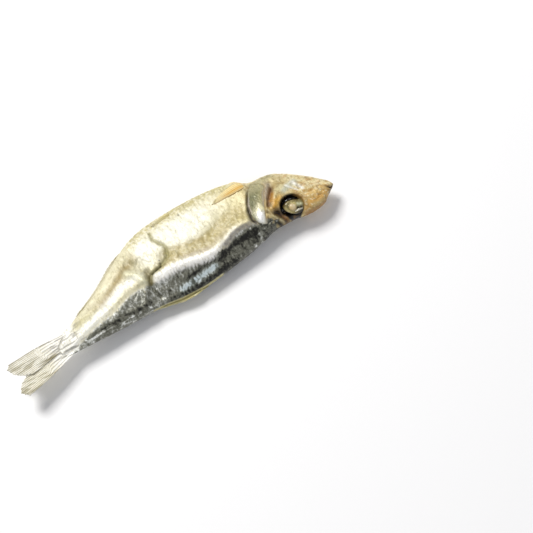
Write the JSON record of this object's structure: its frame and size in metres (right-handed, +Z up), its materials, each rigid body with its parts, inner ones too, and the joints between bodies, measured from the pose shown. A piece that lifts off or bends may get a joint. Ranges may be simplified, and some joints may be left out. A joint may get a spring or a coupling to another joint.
{
  "type": "dried sprat",
  "caption": "Whole dried sprat lying on its side: slim silver body with a dark back, gill covers, sunken eyes, folded fins and a forked tail.",
  "frame": {"origin": "middle of the fish's outline seen from above, on the surface that it lies on", "axes": "+X towards the snout, +Y towards the belly, +Z up, which is the fish's left flank"},
  "size_m": [0.1126, 0.028, 0.0098],
  "materials": {
    "skin": "dried silvery fish skin, bright and lightly wrinkled, with a dark blue-grey back",
    "gill_plate": "thin pearly bone plate, satin, grey-green to yellow",
    "eyeball": "dried translucent olive, glossy, dark at its rim",
    "eye_lens": "hard cream white bead, satin",
    "fin": "dry rayed membrane, amber to pale straw",
    "tail_fin": "dry rayed membrane, grey cream, a little frayed"
  },
  "bodies": {
    "root": {"body": "skin", "gill_cover_left": "gill_plate", "gill_cover_right": "gill_plate", "eyeball_left": "eyeball", "eyeball_right": "eyeball", "eye_lens_left": "eye_lens", "eye_lens_right": "eye_lens", "pectoral_fin_left": "fin", "pectoral_fin_right": "fin", "pelvic_fin_left": "fin", "pelvic_fin_right": "fin", "dorsal_fin": "fin", "anal_fin": "fin", "tail_fin": "tail_fin"}
  },
  "joints": []
}
